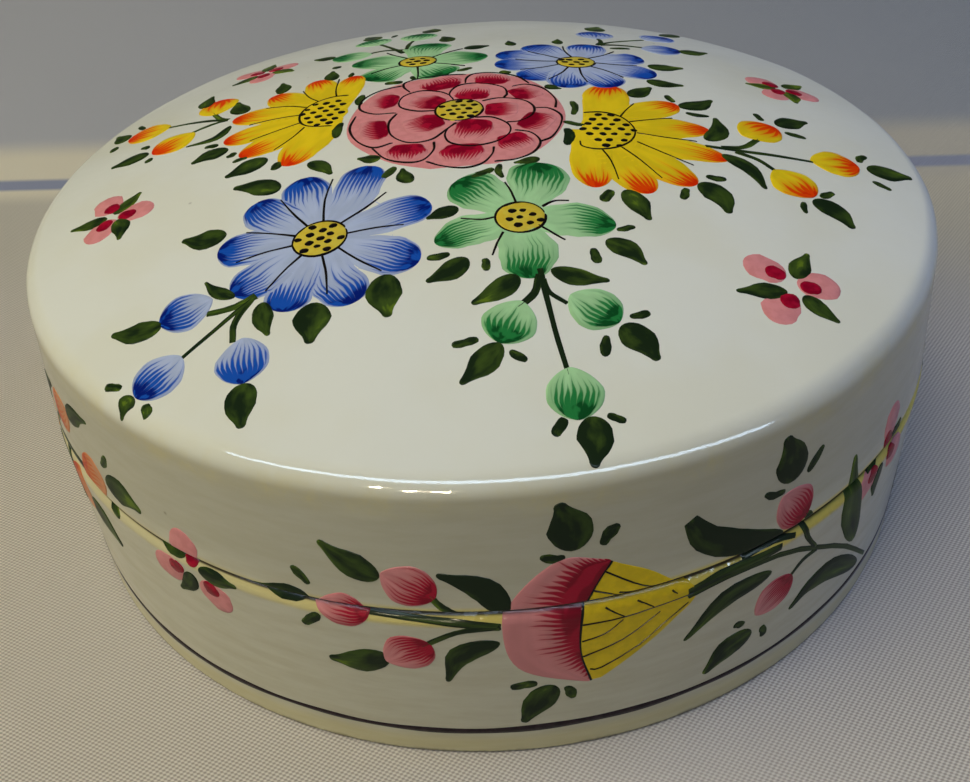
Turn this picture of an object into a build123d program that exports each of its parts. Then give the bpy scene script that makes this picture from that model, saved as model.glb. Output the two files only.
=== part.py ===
from build123d import *
import os
from math import sqrt

# Round papier-mache box with a lift-off domed lid.
# Millimetres. +Z is up, the origin is the centre of the underside, and the box is round about Z.

# Heights
seam_z = 24.8               # the lid's lower edge rests on the base's rim here
crown_joint_z = 37.0        # the moulded crown is glued to the lid's side band here
total_height = 51.0         # middle of the domed top

# Outer radii
foot_radius = 60.0          # base wall at the table
rim_radius = 60.2           # base wall just under the rim
lid_edge_radius = 60.0      # lid's lower edge
shoulder_radius = 58.7      # lid's wall where it would meet the dome, before rounding
dome_radius = 187.0         # sphere of the domed top

# Shell
cavity_radius = 56.2        # inside of the base wall
lid_cavity_radius = 56.5    # inside of the lid, which leaves 0.3 to slip over the collar
crown_thickness = 3.0
floor_thickness = 3.0

# Collar that keeps the lid in place
collar_thickness = 1.8
collar_depth = 9.0          # glued length below the rim
collar_stand = 5.0          # length standing above the rim
collar_lead_in = 0.7        # chamfer that guides the lid on

# Softened edges
rim_round = 1.8             # wide enough to show as a narrow sloping ledge under the lid
lid_edge_round = 0.5
shoulder_round = 3.0
crown_inner_round = 2.0
foot_round = 0.4


def dome_height(radius, sphere=dome_radius, apex=total_height):
    """Height of a sphere cap at a distance from the axis."""
    return apex - sphere + sqrt(sphere**2 - radius**2)


shoulder_z = dome_height(shoulder_radius)


def lid_outer_radius(z):
    """The lid's wall leans in a little from its edge to its shoulder."""
    share = (z - seam_z) / (shoulder_z - seam_z)
    return lid_edge_radius + share * (shoulder_radius - lid_edge_radius)


def corner_at(profile, radius, z):
    """The corner of a section that lies nearest to a radius and height."""
    return profile.vertices().sort_by_distance(Vector(radius, 0, z))[0]


def rounded(profile, radius, z, size):
    """The section with the corner near this radius and height rounded off."""
    return fillet(corner_at(profile, radius, z), size)


def half_section(points):
    """A closed section in the XZ plane, from its (radius, height) corners."""
    corners = [(radius, 0, z) for radius, z in points]
    return make_face(Polyline(*corners, close=True))


def turned(profile):
    """The section turned once around the box's axis."""
    return revolve(profile, Axis.Z, 360)


def make_base_hoop():
    """Straight side wall of the base, with a well rounded rim."""
    profile = half_section([
        (cavity_radius, 0),
        (foot_radius, 0),
        (rim_radius, seam_z),
        (cavity_radius, seam_z),
    ])
    profile = rounded(profile, rim_radius, seam_z, rim_round)
    profile = rounded(profile, foot_radius, 0, foot_round)
    return turned(profile)


def make_base_floor():
    """Flat disc set inside the foot of the side wall, flush with the underside."""
    return Pos(0, 0, floor_thickness / 2) * Cylinder(cavity_radius, floor_thickness)


def make_locating_collar():
    """Thin strip glued inside the rim, standing up to keep the lid in place."""
    top = seam_z + collar_stand
    inner_radius = cavity_radius - collar_thickness
    profile = half_section([
        (inner_radius, seam_z - collar_depth),
        (cavity_radius, seam_z - collar_depth),
        (cavity_radius, top),
        (inner_radius, top),
    ])
    profile = chamfer(corner_at(profile, cavity_radius, top), collar_lead_in)
    return turned(profile)


def make_lid_band():
    """Lower side wall of the lid, which rests on the base's rim."""
    profile = half_section([
        (lid_cavity_radius, seam_z),
        (lid_edge_radius, seam_z),
        (lid_outer_radius(crown_joint_z), crown_joint_z),
        (lid_cavity_radius, crown_joint_z),
    ])
    profile = rounded(profile, lid_edge_radius, seam_z, lid_edge_round)
    return turned(profile)


def make_lid_crown():
    """Moulded top of the lid: a shallow dome with a rounded shoulder and a short skirt."""
    inner_sphere = dome_radius - crown_thickness
    inner_apex = total_height - crown_thickness
    inner_edge_z = dome_height(lid_cavity_radius, inner_sphere, inner_apex)
    shoulder = (shoulder_radius, 0, shoulder_z)
    skirt_outside = (lid_outer_radius(crown_joint_z), 0, crown_joint_z)
    skirt_inside = (lid_cavity_radius, 0, crown_joint_z)
    inner_corner = (lid_cavity_radius, 0, inner_edge_z)
    half_way = shoulder_radius / 2
    outline = Curve() + [
        Line(skirt_inside, skirt_outside),
        Line(skirt_outside, shoulder),
        ThreePointArc(shoulder, (half_way, 0, dome_height(half_way)), (0, 0, total_height)),
        Line((0, 0, total_height), (0, 0, inner_apex)),
        ThreePointArc(
            (0, 0, inner_apex),
            (half_way, 0, dome_height(half_way, inner_sphere, inner_apex)),
            inner_corner,
        ),
        Line(inner_corner, skirt_inside),
    ]
    profile = make_face(outline)
    profile = rounded(profile, shoulder_radius, shoulder_z, shoulder_round)
    profile = rounded(profile, lid_cavity_radius, inner_edge_z, crown_inner_round)
    return turned(profile)


nodes = {
    "base_hoop": make_base_hoop(),
    "base_floor": make_base_floor(),
    "locating_collar": make_locating_collar(),
    "lid_band": make_lid_band(),
    "lid_crown": make_lid_crown(),
}

os.makedirs("parts", exist_ok=True)
for name, solid in nodes.items():
    solid.label = name
    export_step(solid, f"parts/{name}.step")
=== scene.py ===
"""Round papier-mache trinket box: enamelled shell, hand-painted flowers and lacquer, around the CAD frame."""

import math
import random

import bmesh
import bpy
import numpy as np
from mathutils import Matrix, Vector


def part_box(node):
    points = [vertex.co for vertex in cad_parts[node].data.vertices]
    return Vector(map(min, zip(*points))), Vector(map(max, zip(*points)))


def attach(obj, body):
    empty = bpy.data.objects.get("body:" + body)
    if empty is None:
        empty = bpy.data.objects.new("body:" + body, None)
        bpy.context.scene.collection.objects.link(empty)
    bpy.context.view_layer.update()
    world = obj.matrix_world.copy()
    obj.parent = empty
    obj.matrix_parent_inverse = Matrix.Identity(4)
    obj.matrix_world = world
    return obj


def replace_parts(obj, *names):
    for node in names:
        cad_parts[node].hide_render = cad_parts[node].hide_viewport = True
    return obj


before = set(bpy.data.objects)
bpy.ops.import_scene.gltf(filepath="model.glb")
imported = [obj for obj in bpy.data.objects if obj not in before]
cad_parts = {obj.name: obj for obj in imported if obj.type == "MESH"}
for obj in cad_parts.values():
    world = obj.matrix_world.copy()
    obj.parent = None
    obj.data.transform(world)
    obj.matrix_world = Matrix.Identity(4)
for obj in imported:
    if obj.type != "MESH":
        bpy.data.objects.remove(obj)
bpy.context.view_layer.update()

# ---------------------------------------------------------------- sizes, in millimetres
MM = 0.001

# Heights come from the frame.
SEAM_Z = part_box("lid_band")[0].z / MM
JOINT_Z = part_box("lid_crown")[0].z / MM
TOP_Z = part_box("lid_crown")[1].z / MM

# The rest of the section repeats the CAD's driving dimensions.
FOOT_R = 60.0
RIM_R = 60.2
LID_EDGE_R = 60.0
SHOULDER_R = 58.7
DOME_R = 187.0
CAVITY_R = 56.2
LID_CAVITY_R = 56.5
CROWN_THICKNESS = 3.0
RIM_ROUND = 1.8
LID_EDGE_ROUND = 0.5
SHOULDER_ROUND = 3.0
CROWN_INNER_ROUND = 2.0
FOOT_ROUND = 0.4
RIM_INSET = 0.015           # how far the enamelled rim stays inside the CAD's rim radius

WALL_R = 60.0               # the walls' painting is laid out in arc lengths at this radius
RING_Z = 4.5                # middle of the painted line above the foot
RING_WIDTH = 1.0
SEGMENTS = 384              # steps round the box

# Paint film
EMBED = 0.05                # how far a stroke's underside sinks into the enamel
BEVEL = 0.13                # width of a stroke's rounded edge
UNDER = 0.005               # how far each kind of paint stands out: the wash under a blue flower,
GROUND = 0.015              # the ground colour of the rose and the yellow flowers,
WASH = 0.035                # petals and buds,
LEAF = 0.05                 # leaves and stems,
DAB = 0.075                 # hearts of the flowers,
INK = 0.105                 # and black lines
LAYER_STEP = 0.0004         # each new stroke lies this much over the last
NARROW_LEAF = 1.7           # leaves narrower than this are plain dabs
PETAL_START = 1.5           # petals start this far from their flower's centre
LID_PAINT_EDGE = 0.12       # the lid's paint stops this far above the seam
BASE_PAINT_EDGE = -1.25     # the base's paint stops this far down its rim, clear of the lid
LID_BENDS = [0.20, 0.28, 0.36, 0.45, 0.54]      # wall paint is cut at these heights to follow the lid's edge
BASE_BENDS = [-0.2 * k for k in range(7, 16)]   # and at these to follow the base's rim

DOME_CENTRE_Z = TOP_Z - DOME_R


def dome_z(radius):
    """Height of the dome at a distance from the axis."""
    return DOME_CENTRE_Z + np.sqrt(DOME_R**2 - radius**2)


SHOULDER_Z = float(dome_z(SHOULDER_R))
LEAN = math.atan((LID_EDGE_R - SHOULDER_R) / (SHOULDER_Z - SEAM_Z))


def shoulder_centre():
    """Centre of the shoulder's round, inside both the leaning wall and the dome."""
    out = np.array([math.cos(LEAN), math.sin(LEAN)])
    up = np.array([-math.sin(LEAN), math.cos(LEAN)])
    start = np.array([LID_EDGE_R, SEAM_Z]) - SHOULDER_ROUND * out
    from_dome = start - np.array([0.0, DOME_CENTRE_Z])
    half_b = from_dome @ up
    c = from_dome @ from_dome - (DOME_R - SHOULDER_ROUND) ** 2
    return start + (math.sqrt(half_b**2 - c) - half_b) * up


EDGE_INSET = LID_EDGE_ROUND * (1 + math.sin(LEAN)) / math.cos(LEAN)
EDGE_CENTRE = (LID_EDGE_R - EDGE_INSET, SEAM_Z + LID_EDGE_ROUND)
ROUND_CENTRE = shoulder_centre()
ROUND_END = math.atan2(ROUND_CENTRE[1] - DOME_CENTRE_Z, ROUND_CENTRE[0])
DOME_EDGE_R = ROUND_CENTRE[0] + SHOULDER_ROUND * math.cos(ROUND_END)
RIM_CENTRE = (RIM_R - RIM_ROUND - RIM_INSET, SEAM_Z - RIM_ROUND)


def unevenness(x, y, z):
    """Slow hand-made waver of the enamel, in mm along the surface's normal."""
    broad = np.sin(0.105 * x + 0.06 * z + 1.3) * np.sin(0.092 * y - 0.05 * z + 2.0)
    middling = np.sin(0.21 * x - 0.17 * y + 0.12 * z) * np.cos(0.16 * y + 0.2 * x + 0.7)
    small = np.sin(0.47 * x + 0.31 * z + 0.4) * np.sin(0.43 * y - 0.35 * z + 1.1)
    near_edge = np.clip(np.minimum(np.abs(z - SEAM_Z) / 2.0, z / 1.5), 0, 1)
    return near_edge * (0.07 * broad + 0.035 * middling + 0.012 * small)


# ---------------------------------------------------------------- where paint lies on the box

def turned(angle, radius, z, out, up, lift):
    """Points on a turned surface, lifted along its normal; the angle runs from -Y towards +X."""
    x = radius * np.sin(angle)
    y = -radius * np.cos(angle)
    lift = lift + unevenness(x, y, z)
    across = radius + lift * out
    return np.stack([across * np.sin(angle), -across * np.cos(angle), z + lift * up], axis=-1)


def on_top(x, y, lift):
    """Lid's top: x to the right and y to the back, over the dome and its rounded shoulder."""
    radius = np.minimum(np.hypot(x, y), ROUND_CENTRE[0] + 0.985 * SHOULDER_ROUND)
    angle = np.arctan2(x, -y)
    along = np.clip((radius - ROUND_CENTRE[0]) / SHOULDER_ROUND, -1, 1)
    on_dome = radius <= DOME_EDGE_R
    safe = np.minimum(radius, DOME_EDGE_R)
    z = np.where(on_dome, dome_z(safe), ROUND_CENTRE[1] + SHOULDER_ROUND * np.sqrt(1 - along**2))
    out = np.where(on_dome, radius / DOME_R, along)
    return turned(angle, radius, z, out, np.sqrt(1 - out**2), lift)


def on_wall(s, v, lift):
    """Side walls: s is the arc length from the front towards +X, and v the height over the seam.
    Below the seam v runs down the base's rounded rim and then its wall."""
    angle = s / WALL_R
    rise = np.clip(v - LID_EDGE_ROUND, -LID_EDGE_ROUND, LID_EDGE_ROUND)
    rounded_r = EDGE_CENTRE[0] + np.sqrt(LID_EDGE_ROUND**2 - rise**2)
    lid_r = np.where(v < LID_EDGE_ROUND * (1 + math.sin(LEAN)), rounded_r, LID_EDGE_R - v * math.tan(LEAN))
    quarter = RIM_ROUND * math.pi / 2
    turn = np.clip(-v, 0, quarter) / RIM_ROUND
    down = np.maximum(-v - quarter, 0)
    base_z = RIM_CENTRE[1] + RIM_ROUND * np.cos(turn) - down
    straight_r = FOOT_R + (RIM_R - FOOT_R) * base_z / SEAM_Z
    base_r = np.where(down > 0, straight_r, RIM_CENTRE[0] + RIM_ROUND * np.sin(turn))
    on_lid = v > 0
    radius = np.where(on_lid, lid_r, base_r)
    z = np.where(on_lid, SEAM_Z + v, base_z)
    out = np.where(on_lid, math.cos(LEAN), np.sin(turn))
    up = np.where(on_lid, math.sin(LEAN), np.cos(turn))
    return turned(angle, radius, z, out, up, lift)


# ---------------------------------------------------------------- materials

CREAM = (0.78, 0.785, 0.68)
AGED_CREAM = (0.76, 0.755, 0.62)
# Painted shade: the walls' creams are darker and yellower than the top's.
SHADED_WALL_CREAM = (0.61, 0.585, 0.435)
WALL_SHADE = (0.55, 0.515, 0.36)
# Painted shade: the lid's wall is darkened towards this tone.
LID_SHADE_TONE = (0.42, 0.40, 0.29)
OCHRE = (0.74, 0.60, 0.11)
# Dark brown for dirt in the seam, and for painted shade at the seam and the foot.
DIRT_AND_SHADE = (0.045, 0.028, 0.018)
SPECK = (0.16, 0.13, 0.09)
LINING_DARK = (0.020, 0.013, 0.010)
LINING_BROWN = (0.038, 0.024, 0.017)
LINING_RUBBED = (0.085, 0.055, 0.038)
LEAF_DARK = (0.011, 0.023, 0.008)
LEAF_GREEN = (0.066, 0.115, 0.015)
LEAF_THIN = (0.13, 0.20, 0.014)
INK_BLACK = (0.006, 0.0045, 0.004)

# Each set is the pale wash, the loaded paint combed into it, and the same paint where it pools.
BLUES = ((0.44, 0.51, 0.68), (0.008, 0.078, 0.42), (0.001, 0.012, 0.17))
GREENS = ((0.41, 0.69, 0.34), (0.018, 0.20, 0.045), (0.004, 0.07, 0.014))
YELLOWS = ((0.84, 0.60, 0.013), (0.78, 0.055, 0.001), (0.70, 0.026, 0.001))
PINKS = ((0.72, 0.275, 0.265), (0.40, 0.005, 0.028), (0.24, 0.001, 0.016))
EMBERS = ((0.62, 0.30, 0.05), (0.62, 0.07, 0.004), (0.45, 0.02, 0.006))
PALE_EMBERS = ((0.64, 0.27, 0.12), (0.60, 0.13, 0.02), (0.50, 0.05, 0.02))

# Cloth: distances from the box's axis towards the back, in mm
WARP_PITCH = 0.78
WEFT_PITCH = 0.60
CLOTH_TURN = 0.077          # slope of the cloth's border against X
BORDER_Y = (72.0, 79.0)
STRIPE_Y = (78.6, 80.4, 83.2, 85.2)
CLOTH_END_Y = (94.0, 106.0)


class Nodes:
    """Short calls for building one material's node tree."""

    def __init__(self, name, roughness, coat, coat_roughness, gloss=0.5):
        self.material = bpy.data.materials.new(name)
        self.material.use_nodes = True
        self.tree = self.material.node_tree
        self.shader = self.tree.nodes["Principled BSDF"]
        self.shader.inputs["Roughness"].default_value = roughness
        self.shader.inputs["Coat Weight"].default_value = coat
        self.shader.inputs["Coat Roughness"].default_value = coat_roughness
        self.shader.inputs["Specular IOR Level"].default_value = gloss

    def add(self, kind, **values):
        node = self.tree.nodes.new(kind)
        for key, value in values.items():
            setattr(node, key, value)
        return node

    def join(self, source, target):
        if isinstance(source, (int, float)):
            target.default_value = source
        elif isinstance(source, tuple):
            target.default_value = (*source, 1.0)[: len(target.default_value)]
        else:
            self.tree.links.new(source, target)

    def maths(self, operation, a, b=0.0, clamp=False):
        node = self.add("ShaderNodeMath", operation=operation, use_clamp=clamp)
        self.join(a, node.inputs[0])
        self.join(b, node.inputs[1])
        return node.outputs[0]

    def plus(self, a, b, clamp=False):
        return self.maths("ADD", a, b, clamp)

    def minus(self, a, b):
        return self.maths("SUBTRACT", a, b)

    def times(self, a, b):
        return self.maths("MULTIPLY", a, b)

    def swing(self, value, amount):
        """How far a value lies from its middle, 0.5, times an amount."""
        return self.times(self.minus(value, 0.5), amount)

    def ramp(self, value, low, high, to_low=0.0, to_high=1.0):
        """Smooth step of a value between two bounds, which may be sockets."""
        node = self.add("ShaderNodeMapRange", interpolation_type="SMOOTHSTEP")
        sources = (value, low, high, to_low, to_high)
        for source, target in zip(sources, node.inputs[:5]):
            self.join(source, target)
        return node.outputs[0]

    def mix(self, share, a, b):
        node = self.add("ShaderNodeMix", data_type="RGBA")
        self.join(share, node.inputs[0])
        self.join(a, node.inputs[6])
        self.join(b, node.inputs[7])
        return node.outputs[2]

    def vector(self, *parts):
        node = self.add("ShaderNodeCombineXYZ")
        for source, target in zip(parts, node.inputs):
            self.join(source, target)
        return node.outputs[0]

    def noise(self, vector, scale, detail=2.0, roughness=0.5):
        node = self.add("ShaderNodeTexNoise")
        self.join(vector, node.inputs["Vector"])
        node.inputs["Scale"].default_value = scale
        node.inputs["Detail"].default_value = detail
        node.inputs["Roughness"].default_value = roughness
        return node.outputs[0]

    def grain(self, parts, rates, detail=2.0, roughness=0.5):
        """Noise that runs at its own rate along each of two or three values."""
        return self.noise(self.vector(*map(self.times, parts, rates)), 1.0, detail, roughness)

    def place(self):
        """Position in the box's frame, in millimetres: the whole vector and its parts."""
        coordinates = self.add("ShaderNodeTexCoord").outputs["Object"]
        scaled = self.add("ShaderNodeVectorMath", operation="SCALE")
        self.join(coordinates, scaled.inputs[0])
        scaled.inputs["Scale"].default_value = 1 / MM
        parts = self.add("ShaderNodeSeparateXYZ")
        self.join(scaled.outputs[0], parts.inputs[0])
        return scaled.outputs[0], parts.outputs

    def stroke(self):
        """Along the stroke, across it, and a number of its own."""
        uv = self.add("ShaderNodeUVMap", uv_map="stroke").outputs[0]
        parts = self.add("ShaderNodeSeparateXYZ")
        self.join(uv, parts.inputs[0])
        across = self.maths("FRACT", parts.outputs[1])
        number = self.maths("FLOOR", parts.outputs[1])
        return parts.outputs[0], across, number

    def colour(self, source):
        self.join(source, self.shader.inputs["Base Color"])

    def bump(self, height, strength, depth):
        node = self.add("ShaderNodeBump")
        node.inputs["Strength"].default_value = strength
        node.inputs["Distance"].default_value = depth * MM
        self.join(height, node.inputs["Height"])
        self.join(node.outputs[0], self.shader.inputs["Normal"])
        self.join(node.outputs[0], self.shader.inputs["Coat Normal"])


def specks(n, point, base):
    """Rare dark specks of different sizes in the ground coat."""
    cells = n.add("ShaderNodeTexVoronoi", feature="F1")
    n.join(point, cells.inputs["Vector"])
    cells.inputs["Scale"].default_value = 0.17
    rare = n.add("ShaderNodeSeparateXYZ")
    n.join(cells.outputs["Color"], rare.inputs[0])
    size = n.ramp(rare.outputs[0], 0.55, 1.0, 0.0, 0.065)
    return n.mix(n.ramp(cells.outputs["Distance"], 0.0, size, 0.55, 0.0), base, SPECK)


def cream_enamel():
    """Cream ground coat, brushed round the walls, with yellowed lacquer at the seam and the foot; the walls,
    the seam line and the foot's edge also carry painted shade.
    """
    n = Nodes("cream_enamel", roughness=0.45, coat=0.7, coat_roughness=0.07, gloss=0.05)
    point, (x, y, z) = n.place()
    # Painted shade: below the shoulder the walls change to darker, yellower creams than the top, brushed in
    # streaks.
    sides = n.ramp(z, SHOULDER_Z - 2.4, SHOULDER_Z - 0.5, 1.0, 0.0)
    streaks = n.grain((x, y, z), (0.12, 0.12, 0.66), 4.0, 0.6)
    clouds = n.noise(point, 0.045, 3.0, 0.6)
    # Noise for the shoulder's yellowing and for the ragged edge of the painted contact shadow at the foot.
    grime_and_shadow_noise = n.noise(point, 0.16, 4.0, 0.7)

    base = n.mix(n.ramp(clouds, 0.38, 0.66), CREAM, AGED_CREAM)
    brushed = n.mix(n.ramp(streaks, 0.30, 0.72), SHADED_WALL_CREAM, WALL_SHADE)
    # Painted shade: the lid's wall is darker still, from a little above the seam up.
    brushed = n.mix(n.ramp(z, SEAM_Z + 0.5, SEAM_Z + 4.0, 0.0, 0.45), brushed, LID_SHADE_TONE)
    base = n.mix(sides, base, brushed)

    above = n.ramp(z, SEAM_Z + 0.15, SEAM_Z + 1.1, 1.0, 0.0)
    below = n.ramp(z, SEAM_Z - 2.2, SEAM_Z - 1.4)
    ledge = n.times(n.times(above, below), n.ramp(x, -45.0, 15.0, 0.3, 1.0))
    foot = n.ramp(z, 2.2, 4.2, 0.28, 0.0)
    shoulder = n.times(n.ramp(z, SHOULDER_Z - 5.0, SHOULDER_Z - 2.4),
                       n.ramp(z, SHOULDER_Z - 1.6, SHOULDER_Z + 0.8, 1.0, 0.0))
    shoulder = n.times(shoulder, n.ramp(grime_and_shadow_noise, 0.4, 0.75, 0.05, 0.28))
    yellowed = n.maths("MAXIMUM", n.maths("MAXIMUM", ledge, foot), shoulder)
    base = n.mix(yellowed, base, OCHRE)

    # Dark line at the seam: partly dirt in the joint, partly painted shade of the crevice.
    seam_dirt_and_shade = n.times(n.ramp(z, SEAM_Z + 0.05, SEAM_Z + 0.30, 0.92, 0.0),
                        n.ramp(z, SEAM_Z - 0.66, SEAM_Z - 0.48))
    # Painted contact shadow: a ragged dark rim where the foot meets the floor.
    painted_contact_shadow = n.ramp(z, 0.15, n.ramp(grime_and_shadow_noise, 0.35, 0.65, 0.45, 1.0), 0.8, 0.0)
    base = n.mix(n.maths("MAXIMUM", seam_dirt_and_shade, painted_contact_shadow), base, DIRT_AND_SHADE)
    n.colour(specks(n, point, base))

    ripple = n.plus(n.times(n.times(streaks, sides), 0.7), n.times(n.noise(point, 0.55, 3.0), 0.5))
    ripple = n.plus(ripple, n.times(n.times(n.noise(point, 0.9, 2.0), ledge), 3.0))
    n.bump(ripple, 0.5, 0.10)
    dull = n.times(ledge, n.ramp(n.noise(point, 1.1, 2.0), 0.5, 0.62, 0.9, 0.0))
    dull = n.maths("MAXIMUM", dull, seam_dirt_and_shade)
    n.join(n.minus(0.7, n.times(dull, 0.65)), n.shader.inputs["Coat Weight"])
    return n.material


def dark_lining():
    """Brown-black lacquer inside the box, with the soft lumps of paper pulp under it."""
    n = Nodes("dark_lining", roughness=0.38, coat=0.35, coat_roughness=0.2)
    point, parts = n.place()
    pulp = n.noise(point, 0.35, 4.0, 0.6)
    rubbed = n.noise(point, 0.09, 3.0, 0.6)
    streaks = n.grain(parts, (0.072, 0.072, 1.2), 3.0)
    base = n.mix(n.ramp(streaks, 0.35, 0.7), LINING_DARK, LINING_BROWN)
    n.colour(n.mix(n.ramp(rubbed, 0.58, 0.8, 0.0, 0.6), base, LINING_RUBBED))
    n.bump(pulp, 0.4, 0.12)
    return n.material


def comb_paint(name, tones, start, reach, teeth, from_root=False, margin=0.86, wrap=0.0, glow=0.2, slant=0.0):
    """Pale wash whose end is loaded with dark paint, combed back into it in fine pointed strokes.
    The comb starts at a share of the stroke's length, and its teeth reach back from there. It stops at a
    margin from the sides, wraps round them, and may slant. Glow is how far the dark tints the wash."""
    n = Nodes(name, roughness=0.4, coat=0.15, coat_roughness=0.12, gloss=0.05)
    wash, loaded, deep = tones
    along, across, number = n.stroke()
    if from_root:
        along = n.minus(1.0, along)
    from_middle = n.maths("ABSOLUTE", n.minus(n.times(across, 2.0), 1.0))
    blotch = n.grain((across, along, number), (3.0, 3.5, 5.1))
    sway = n.grain((across, along, number), (1.3, 1.5, 3.7), detail=1.0)
    tooth = n.plus(n.times(across, teeth), n.times(sway, 2.4))
    own = n.add("ShaderNodeTexWhiteNoise", noise_dimensions="2D")
    n.join(n.vector(n.maths("FLOOR", tooth), number, 0.0), own.inputs["Vector"])
    from_tooth = n.times(n.maths("ABSOLUTE", n.minus(n.maths("FRACT", tooth), 0.5)), 2.0)
    length = n.ramp(own.outputs["Value"], 0.0, 1.0, 0.45 * reach, reach)
    begin = n.minus(start, n.times(n.maths("POWER", from_middle, 2.0), wrap))
    begin = n.plus(n.plus(begin, n.swing(blotch, 0.25)), n.swing(across, slant))
    depth = n.maths("DIVIDE", n.minus(begin, along), length)
    edge = n.minus(1.0, depth)
    combed = n.ramp(from_tooth, n.minus(edge, 0.42), n.plus(edge, 0.05), 1.0, 0.0)
    combed = n.times(combed, n.ramp(depth, 0.1, 1.05, 1.0, 0.55))
    ragged = n.plus(from_middle, n.swing(blotch, 0.3))
    combed = n.times(combed, n.ramp(ragged, margin, margin + 0.1, 1.0, 0.0))
    pale = n.mix(n.ramp(blotch, 0.35, 0.65), wash, tuple(0.88 * c for c in wash))
    tinted = n.mix(n.ramp(depth, -0.1, 1.3, glow, 0.0), pale, loaded)
    pooled = n.times(n.ramp(blotch, 0.43, 0.51), n.ramp(depth, -0.30, 0.0, 1.0, 0.0))
    n.colour(n.mix(combed, tinted, n.mix(pooled, loaded, deep)))
    n.bump(from_tooth, 0.25, 0.04)
    return n.material


def leaf_paint():
    """One loaded stroke of green, from olive where it is thin to nearly black where it pools."""
    n = Nodes("leaf_green", roughness=0.4, coat=0.12, coat_roughness=0.1, gloss=0.04)
    along, across, number = n.stroke()
    tone = n.add("ShaderNodeAttribute", attribute_name="tone").outputs["Fac"]
    pool = n.grain((across, along, number), (1.8, 2.4, 4.3), detail=3.0)
    hairs = n.grain((across, along, number), (9.0, 1.2, 2.9), detail=1.0)
    thin = n.plus(tone, n.swing(pool, 3.0))
    thin = n.plus(thin, n.times(n.minus(along, 0.45), n.times(tone, 0.8)))
    thin = n.plus(thin, n.swing(hairs, 0.3), clamp=True)
    base = n.mix(thin, LEAF_DARK, LEAF_GREEN)
    n.colour(n.mix(n.ramp(thin, 0.7, 1.0, 0.0, 0.8), base, LEAF_THIN))
    n.bump(hairs, 0.3, 0.05)
    return n.material


def flat_paint(name, colour, shade):
    """Even paint with a little variation in how thickly it lies."""
    n = Nodes(name, roughness=0.4, coat=0.15, coat_roughness=0.12, gloss=0.05)
    point = n.place()[0]
    n.colour(n.mix(n.ramp(n.noise(point, 0.9, 3.0), 0.35, 0.65), colour, shade))
    n.bump(n.noise(point, 2.0, 2.0), 0.3, 0.05)
    return n.material


def cloth():
    """Woven beige cloth with a striped border behind the box, and a grey top beyond it; painted shade darkens
    it towards the back, to the right and in soft folds.
    """
    n = Nodes("cloth", roughness=0.75, coat=0.0, coat_roughness=0.5)
    n.shader.inputs["Sheen Weight"].default_value = 0.2
    x, y = n.place()[1][:2]
    warp = n.maths("SINE", n.times(n.plus(x, n.times(y, 0.35)), 2 * math.pi / WARP_PITCH))
    weft = n.maths("SINE", n.times(n.minus(y, n.times(x, 0.12)), 2 * math.pi / WEFT_PITCH))
    weave = n.ramp(n.times(warp, weft), -0.8, 0.8)
    fold_shade = n.grain((x, y), (0.012, 0.03))
    back = n.plus(y, n.times(x, CLOTH_TURN))

    base = n.mix(weave, (0.34, 0.30, 0.25), (0.70, 0.645, 0.55))
    # Painted shade of soft folds: broad patches of the cloth are darker.
    base = n.mix(n.ramp(fold_shade, 0.35, 0.65, 0.0, 0.35), base, (0.50, 0.455, 0.39))
    # Painted shade: the cloth darkens towards the back, away from the lights.
    base = n.mix(n.ramp(back, 10.0, 60.0, 0.0, 0.6), base, (0.43, 0.385, 0.25))
    # Painted shade: the border darkens towards the right.
    border = n.mix(n.ramp(x, -90.0, 90.0), (0.66, 0.59, 0.41), (0.44, 0.40, 0.31))
    base = n.mix(n.ramp(back, *BORDER_Y), base, border)
    stripe = n.times(n.ramp(back, *STRIPE_Y[:2]), n.ramp(back, *STRIPE_Y[2:], 1.0, 0.0))
    base = n.mix(stripe, base, (0.23, 0.245, 0.31))
    # Painted shade: the grey top darkens towards the right.
    grey = n.mix(n.ramp(x, -150.0, 250.0), (0.395, 0.385, 0.365), (0.205, 0.22, 0.235))
    n.colour(n.mix(n.ramp(back, *CLOTH_END_Y), base, grey))
    n.bump(weave, 0.4, 0.2)
    return n.material


ENAMEL = cream_enamel()
LINING = dark_lining()
GREEN = leaf_paint()
BLUE_PETAL = comb_paint("blue_petal", BLUES, 0.70, 0.36, 12.0, margin=0.80, wrap=0.02)
BLUE_BUD = comb_paint("blue_bud", BLUES, 0.58, 0.50, 10.0, margin=0.8, wrap=-0.05)
BLUE_WASH = flat_paint("blue_wash", (0.47, 0.53, 0.68), BLUES[0])
GREEN_PETAL = comb_paint("green_petal", GREENS, 0.64, 0.38, 12.0, margin=0.74, wrap=-0.08, glow=0.35)
GREEN_BUD = comb_paint("green_bud", GREENS, 0.56, 0.38, 10.0, margin=0.72, wrap=-0.1, glow=0.35)
YELLOW_PETAL = comb_paint("yellow_petal", YELLOWS, 0.76, 0.26, 9.0, margin=0.74, wrap=-0.12, glow=0.5)
YELLOW_BUD = comb_paint("yellow_bud", YELLOWS, 0.66, 0.40, 7.0, margin=0.78, wrap=-0.15, glow=0.6)
ROSE_PETAL = comb_paint("rose_petal", PINKS, 0.42, 0.40, 13.0, True, margin=0.84, wrap=-0.16, glow=0.25)
PINK_BUD = comb_paint("pink_bud", PINKS, 0.62, 0.42, 13.0, margin=0.82, wrap=-0.05, glow=0.55)
THISTLE = comb_paint("thistle_pink", PINKS, 0.66, 0.50, 38.0, margin=1.2, wrap=0.08, slant=0.80)
EMBER = comb_paint("thistle_orange", EMBERS, 0.66, 0.50, 38.0, margin=1.2, wrap=0.08, slant=0.80)
EMBER_BUD = comb_paint("orange_bud", PALE_EMBERS, 0.58, 0.45, 10.0)
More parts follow.
